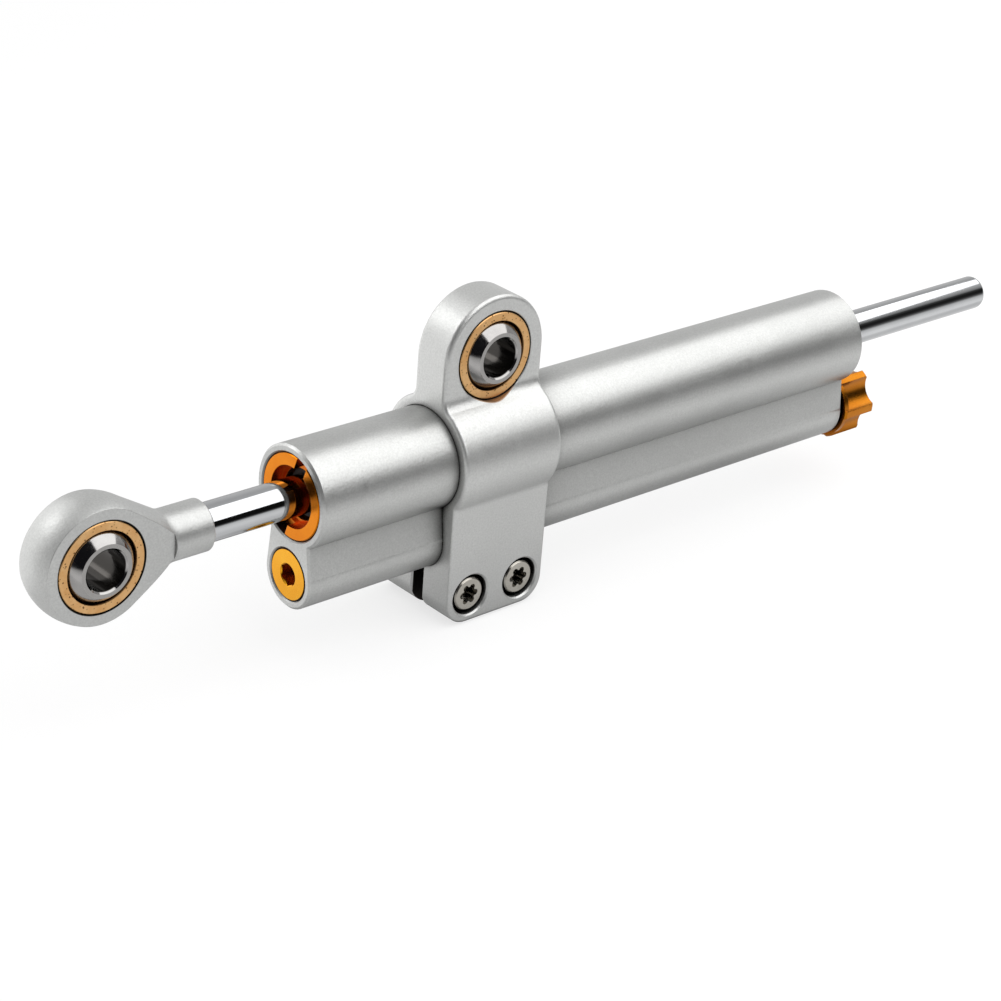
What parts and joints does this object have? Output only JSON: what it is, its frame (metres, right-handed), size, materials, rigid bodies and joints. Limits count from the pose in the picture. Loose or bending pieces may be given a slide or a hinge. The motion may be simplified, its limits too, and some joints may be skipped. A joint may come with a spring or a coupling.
{
  "type": "motorcycle steering damper",
  "caption": "Linear twin-tube hydraulic steering damper with a through rod, ball-jointed rod end, sliding split mounting clamp and star adjuster knob.",
  "frame": {"origin": "centre of the bolt bore in the mounting clamp's spherical bearing", "axes": "+X along the damper rod towards its free tip, +Y along both bolt bores away from the clamp bolts' heads, +Z from the tubes up to the clamp's eye"},
  "size_m": [0.255, 0.025, 0.0662],
  "materials": {
    "satin_aluminium": "bead-blasted, clear anodised",
    "gold_anodised": "gold anodised, satin",
    "plain_aluminium": "turned",
    "sintered_bronze": "sintered, oiled, fine pores",
    "hard_chrome": "ground and polished hard chrome",
    "bearing_steel": "polished ball with brushed faces",
    "bolt_steel": "plain stainless steel",
    "plain_steel": "turned",
    "black_rubber": "moulded nitrile rubber",
    "black_plastic": "filled bearing plastic"
  },
  "bodies": {
    "body": {"tube_casing": "satin_aluminium", "gland_left": "gold_anodised", "gland_right": "gold_anodised", "wiper_left": "black_rubber", "wiper_right": "black_rubber", "guide_bush_left": "sintered_bronze", "guide_bush_right": "sintered_bronze", "rod_seal_left": "black_rubber", "rod_seal_right": "black_rubber", "seal_washer_left": "plain_steel", "seal_washer_right": "plain_steel", "bump_stop_left": "black_rubber", "bump_stop_right": "black_rubber", "gland_ring_left": "black_rubber", "gland_ring_right": "black_rubber", "bypass_plug": "gold_anodised", "plug_ring": "black_rubber", "valve_sleeve": "plain_steel", "adjuster_cartridge": "gold_anodised", "cartridge_ring": "black_rubber", "click_ball": "plain_steel", "click_spring": "plain_steel"},
    "clamp": {"clamp_bracket": "satin_aluminium", "clamp_bolts": "bolt_steel", "clamp_race": "sintered_bronze"},
    "clamp_ball_body": {"clamp_ball": "bearing_steel"},
    "piston_body": {"piston": "plain_aluminium", "piston_ring": "black_plastic"},
    "rod": {"damper_rod": "hard_chrome", "rod_clips": "plain_steel", "thrust_washers": "plain_steel", "rod_end": "satin_aluminium", "rod_end_race": "sintered_bronze"},
    "rod_ball_body": {"rod_end_ball": "bearing_steel"},
    "adjuster": {"adjuster_knob": "gold_anodised", "adjuster_spindle": "plain_steel", "knob_screw": "bolt_steel", "spindle_ring": "black_rubber"}
  },
  "joints": [
    {"name": "clamp_slide", "type": "slide", "parent": "body", "child": "clamp", "axis": [1, 0, 0], "range_m": [-0.032, 0.09]},
    {"name": "clamp_ball_turn", "type": "hinge", "parent": "clamp", "child": "clamp_ball_body", "pos_m": [0, 0, 0], "axis": [0, 1, 0], "continuous": true},
    {"name": "rod_slide", "type": "slide", "parent": "body", "child": "piston_body", "axis": [1, 0, 0], "range_m": [-0.05, 0.02]},
    {"name": "rod_turn", "type": "hinge", "parent": "piston_body", "child": "rod", "pos_m": [0.04435, 0, -0.0201], "axis": [1, 0, 0], "continuous": true},
    {"name": "rod_ball_turn", "type": "hinge", "parent": "rod", "child": "rod_ball_body", "pos_m": [-0.089, 0, -0.0201], "axis": [0, 1, 0], "continuous": true},
    {"name": "adjuster_turn", "type": "hinge", "parent": "body", "child": "adjuster", "pos_m": [0.1036, 0, -0.0365], "axis": [1, 0, 0], "range_deg": [0, 340]}
  ]
}
